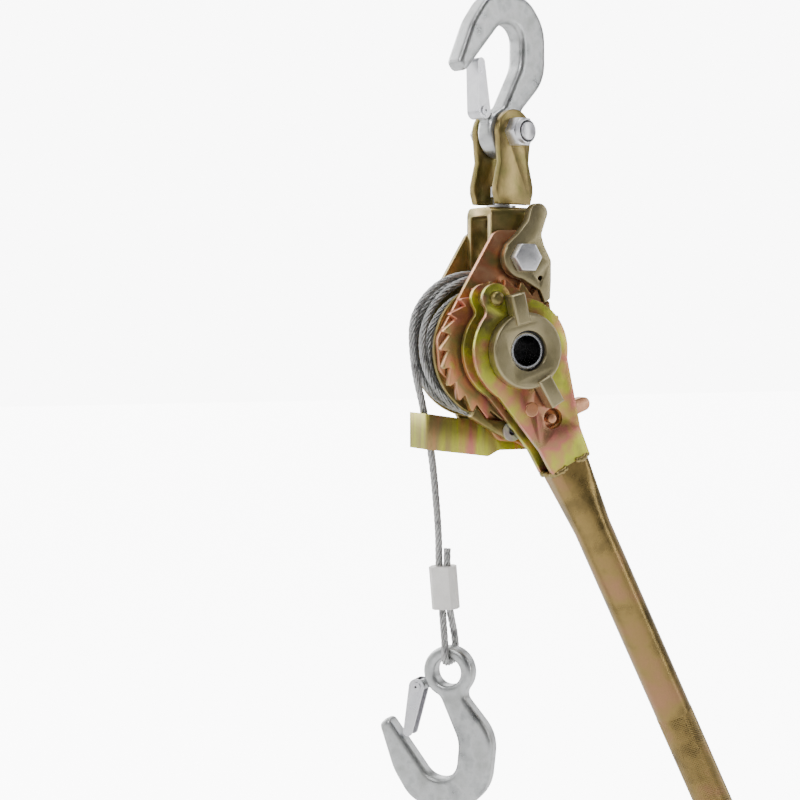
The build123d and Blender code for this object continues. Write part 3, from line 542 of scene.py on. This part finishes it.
def plating(name, stops, patch, rough, metal=0.85, grain=0.25, edge=None, streak=1.0):
    """Plated or bare metal: patch is the size of the colour clouds in millimetres."""
    material = bpy.data.materials.new(name)
    material.use_nodes = True
    tree = material.node_tree
    link = tree.links.new
    shader = tree.nodes["Principled BSDF"]
    shader.inputs["Metallic"].default_value = metal
    place = tree.nodes.new("ShaderNodeTexCoord")
    stretch = node(tree, "ShaderNodeMapping", Scale=(1.0, 1.0, streak))
    link(place.outputs["Object"], stretch.inputs["Vector"])
    clouds = node(tree, "ShaderNodeTexNoise", Scale=1000 / patch, Detail=3.0, Roughness=0.55)
    link(stretch.outputs["Vector"], clouds.inputs["Vector"])
    colours = ramp(tree, stops)
    link(clouds.outputs["Fac"], colours.inputs["Fac"])
    speckle = node(tree, "ShaderNodeTexNoise", Scale=1400.0, Detail=4.0, Roughness=0.6)
    link(stretch.outputs["Vector"], speckle.inputs["Vector"])
    dull = node(tree, "ShaderNodeMapRange", To_Min=0.86, To_Max=1.1)
    link(speckle.outputs["Fac"], dull.inputs["Value"])
    shade = tree.nodes.new("ShaderNodeVectorMath")
    shade.operation = "SCALE"
    link(colours.outputs["Color"], shade.inputs[0])
    link(dull.outputs["Result"], shade.inputs["Scale"])
    base = shade.outputs["Vector"]
    if edge is not None:
        rounded = node(tree, "ShaderNodeBevel", Radius=0.7 * MM)
        rounded.samples = 4
        flat = tree.nodes.new("ShaderNodeNewGeometry")
        match = tree.nodes.new("ShaderNodeVectorMath")
        match.operation = "DOT_PRODUCT"
        link(rounded.outputs["Normal"], match.inputs[0])
        link(flat.outputs["Normal"], match.inputs[1])
        worn = node(tree, "ShaderNodeMapRange", From_Min=0.985, From_Max=0.86, To_Max=0.65)
        link(match.outputs["Value"], worn.inputs["Value"])
        mix = tree.nodes.new("ShaderNodeMix")
        mix.data_type = "RGBA"
        link(worn.outputs["Result"], mix.inputs["Factor"])
        link(base, mix.inputs["A"])
        mix.inputs["B"].default_value = (*edge, 1.0)
        base = mix.outputs["Result"]
    link(base, shader.inputs["Base Color"])
    polish = node(tree, "ShaderNodeMapRange", To_Min=rough - 0.1, To_Max=rough + 0.12)
    link(clouds.outputs["Fac"], polish.inputs["Value"])
    link(polish.outputs["Result"], shader.inputs["Roughness"])
    bump = node(tree, "ShaderNodeBump", Strength=grain, Distance=0.15 * MM)
    link(speckle.outputs["Fac"], bump.inputs["Height"])
    link(bump.outputs["Normal"], shader.inputs["Normal"])
    return material


# %% [markdown]
# Yellow chromate is a thin film over zinc. It looks olive gold, and where the film is
# thinner or thicker it turns pink, salmon or green. Bright zinc is a cool silver grey.

# %% Finishes
OLIVE = (0.20, 0.17, 0.055)
TAN = (0.31, 0.23, 0.09)
GREEN_GOLD = (0.42, 0.43, 0.05)
PINK = (0.50, 0.17, 0.13)
SALMON = (0.52, 0.22, 0.11)
WORN = (0.58, 0.50, 0.30)

finishes = {
    "yellow_zinc": plating("yellow_zinc", (OLIVE, TAN, OLIVE, TAN), 30, 0.32, edge=WORN),
    "fork_zinc": plating(
        "fork_zinc", (TAN, PINK, GREEN_GOLD, OLIVE, PINK), 38, 0.3, edge=WORN
    ),
    "pink_zinc": plating(
        "pink_zinc", (TAN, SALMON, (0.60, 0.32, 0.18), SALMON, TAN), 34, 0.32, edge=WORN
    ),
    "guide_zinc": plating(
        "guide_zinc", (TAN, PINK, GREEN_GOLD, TAN, SALMON), 24, 0.32, edge=WORN, streak=0.12
    ),
    "disc_zinc": plating(
        "disc_zinc", ((0.27, 0.23, 0.12), (0.34, 0.29, 0.17)), 16, 0.34, grain=0.3, edge=WORN
    ),
    "wheel_zinc": plating(
        "wheel_zinc", (GREEN_GOLD, SALMON, TAN, SALMON, PINK, TAN), 36, 0.32, edge=WORN
    ),
    "tube_zinc": plating(
        "tube_zinc", ((0.12, 0.085, 0.03), (0.25, 0.17, 0.055), (0.30, 0.16, 0.08)), 26, 0.28
    ),
    "zinc_forged": plating(
        "zinc_forged", ((0.30, 0.31, 0.31), (0.50, 0.51, 0.51), (0.38, 0.39, 0.38)), 14, 0.3,
        grain=0.6,
    ),
    "zinc_bolt": plating(
        "zinc_bolt", ((0.6, 0.6, 0.63), (0.75, 0.75, 0.77)), 8, 0.3, edge=(0.9, 0.9, 0.9)
    ),
    "steel_axle": plating(
        "steel_axle", ((0.5, 0.51, 0.54), (0.68, 0.69, 0.72)), 9, 0.24, edge=(0.85, 0.86, 0.9)
    ),
    "black_oxide": plating(
        "black_oxide", ((0.012, 0.012, 0.014), (0.035, 0.035, 0.04)), 6, 0.4, metal=0.6
    ),
    "nylon": plating("nylon", ((0.02, 0.02, 0.022), (0.05, 0.05, 0.05)), 4, 0.5, metal=0.0),
    "plug_black": plating(
        "plug_black", ((0.015, 0.015, 0.015), (0.03, 0.03, 0.03)), 8, 0.55, metal=0.0
    ),
    "ferrule_alu": plating(
        "ferrule_alu", ((0.72, 0.7, 0.67), (0.82, 0.8, 0.77)), 10, 0.5, metal=0.55, grain=0.3
    ),
    "rope_steel": plating(
        "rope_steel", ((0.2, 0.2, 0.2), (0.46, 0.46, 0.45), (0.32, 0.32, 0.31)), 5, 0.38,
        metal=0.85, grain=0.7,
    ),
}
slot_finish = dict(slot_of_part)
for name in ("front_fork_plate", "rear_fork_plate"):
    slot_finish[name] = "fork_zinc"
slot_finish["rope_guide"] = "guide_zinc"
slot_finish["release_disc"] = "disc_zinc"
slot_finish["holding_pawl"] = "disc_zinc"
slot_finish["holding_wheel"] = "wheel_zinc"
slot_finish["drive_wheel"] = "wheel_zinc"
slot_finish["ear_rivet"] = "yellow_zinc"


def paint(obj, finish):
    """Gives a piece one finish."""
    obj.data.materials.clear()
    obj.data.materials.append(finishes[finish])


for name, obj in nodes.items():
    paint(obj, slot_finish[name])
for name, obj in shaped.items():
    paint(obj, slot_finish[name])
paint(knurl, "tube_zinc")
paint(weld, "yellow_zinc")
paint(rope, "rope_steel")
print("finishes:", len(finishes))

# %% [markdown]
# ## Axle bore with painted shade
# The axle is bright at its rim and dark inside. The dark inside is painted shade: the finish
# reads how far a point lies from the axle's centre line and turns black within the bore, where
# the hollow lies in shade.

# %% Axle bore painted shade
BORE_FULL_SHADE = 9.9 * MM
BORE_SHADE_FADE = 10.3 * MM
axle_tree = finishes["steel_axle"].node_tree
axle_shader = axle_tree.nodes["Principled BSDF"]
axle_place = axle_tree.nodes.new("ShaderNodeTexCoord")
from_centre = axle_tree.nodes.new("ShaderNodeVectorMath")
from_centre.operation = "SUBTRACT"
from_centre.inputs[1].default_value = AXLE
axle_tree.links.new(axle_place.outputs["Object"], from_centre.inputs[0])
flattened = axle_tree.nodes.new("ShaderNodeVectorMath")
flattened.operation = "MULTIPLY"
flattened.inputs[1].default_value = (1.0, 0.0, 1.0)
axle_tree.links.new(from_centre.outputs["Vector"], flattened.inputs[0])
distance = axle_tree.nodes.new("ShaderNodeVectorMath")
distance.operation = "LENGTH"
axle_tree.links.new(flattened.outputs["Vector"], distance.inputs[0])
painted_bore_shade = node(
    axle_tree,
    "ShaderNodeMapRange",
    From_Min=BORE_FULL_SHADE,
    From_Max=BORE_SHADE_FADE,
    To_Min=1.0,
    To_Max=0.0,
)
axle_tree.links.new(distance.outputs["Value"], painted_bore_shade.inputs["Value"])
# Painted shade: within the bore the steel colour is mixed to near black.
dark = axle_tree.nodes.new("ShaderNodeMix")
dark.data_type = "RGBA"
dark.inputs["B"].default_value = (0.006, 0.006, 0.007, 1.0)
axle_tree.links.new(painted_bore_shade.outputs["Result"], dark.inputs["Factor"])
axle_tree.links.new(axle_shader.inputs["Base Color"].links[0].from_socket, dark.inputs["A"])
axle_tree.links.new(dark.outputs["Result"], axle_shader.inputs["Base Color"])
print("bore radius", round(BORE_FULL_SHADE / MM, 2), "mm")

# %% [markdown]
# ## Room, floor and light
# A plain pale floor well below the handle and soft light from large panels. Metal shows what
# it mirrors, so a wide panel on each side gives long clean highlights and a dark gap between
# them keeps the shapes readable.

# %% Floor, world and lights
BACKDROP = 9.0

clear_selection()
bpy.ops.mesh.primitive_plane_add(size=14, location=(0, 2, -0.68))
floor = bpy.context.object
floor.name = "floor"
floor_material = bpy.data.materials.new("floor")
floor_material.use_nodes = True
floor_shader = floor_material.node_tree.nodes["Principled BSDF"]
floor_shader.inputs["Base Color"].default_value = (0.92, 0.92, 0.92, 1.0)
floor_shader.inputs["Roughness"].default_value = 0.9
floor_shader.inputs["Emission Color"].default_value = (1.0, 1.0, 1.0, 1.0)
floor_seen = floor_material.node_tree.nodes.new("ShaderNodeLightPath")
glow = node(floor_material.node_tree, "ShaderNodeMapRange", To_Min=0.35, To_Max=BACKDROP)
floor_material.node_tree.links.new(floor_seen.outputs["Is Camera Ray"], glow.inputs["Value"])
floor_material.node_tree.links.new(
    glow.outputs["Result"], floor_shader.inputs["Emission Strength"]
)
floor.data.materials.append(floor_material)

world = bpy.data.worlds.new("world")
world.use_nodes = True
sky = world.node_tree
sky.nodes["Background"].inputs["Color"].default_value = (1.0, 1.0, 1.0, 1.0)
direction = sky.nodes.new("ShaderNodeTexCoord")
split = sky.nodes.new("ShaderNodeSeparateXYZ")
sky.links.new(direction.outputs["Generated"], split.inputs["Vector"])
front_to_back = node(
    sky, "ShaderNodeMapRange", From_Min=-0.25, From_Max=0.45, To_Min=0.10, To_Max=2.2
)
sky.links.new(split.outputs["Y"], front_to_back.inputs["Value"])
drift = node(sky, "ShaderNodeTexNoise", Scale=2.2, Detail=1.0)
sky.links.new(direction.outputs["Generated"], drift.inputs["Vector"])
uneven = node(sky, "ShaderNodeMapRange", From_Min=0.4, From_Max=0.6, To_Min=0.15, To_Max=1.6)
sky.links.new(drift.outputs["Fac"], uneven.inputs["Value"])
strength = sky.nodes.new("ShaderNodeMath")
strength.operation = "MULTIPLY"
sky.links.new(front_to_back.outputs["Result"], strength.inputs[0])
sky.links.new(uneven.outputs["Result"], strength.inputs[1])
seen = sky.nodes.new("ShaderNodeLightPath")
backdrop = node(sky, "ShaderNodeMapRange", To_Max=BACKDROP)
sky.links.new(seen.outputs["Is Camera Ray"], backdrop.inputs["Value"])
brightest = sky.nodes.new("ShaderNodeMath")
brightest.operation = "MAXIMUM"
sky.links.new(strength.outputs["Value"], brightest.inputs[0])
sky.links.new(backdrop.outputs["Result"], brightest.inputs[1])
sky.links.new(brightest.outputs["Value"], sky.nodes["Background"].inputs["Strength"])
bpy.context.scene.world = world


def panel(name, place, width, height, power):
    """Soft area light that faces the middle of the winch."""
    data = bpy.data.lights.new(name, "AREA")
    data.shape = "RECTANGLE"
    data.size = width
    data.size_y = height
    data.energy = power
    light = bpy.data.objects.new(name, data)
    bpy.context.scene.collection.objects.link(light)
    light.location = place
    light.rotation_euler = (VIEW_TARGET - light.location).to_track_quat("-Z", "Y").to_euler()


panel("key", Vector((-1.2, -1.1, 0.9)), 0.4, 0.9, 15)
panel("fill", Vector((1.3, -0.9, 0.1)), 0.2, 1.2, 6)
panel("top", Vector((0.1, -0.2, 1.2)), 0.9, 0.3, 7)
panel("rim", Vector((-0.7, 1.3, 0.3)), 0.4, 1.0, 9)
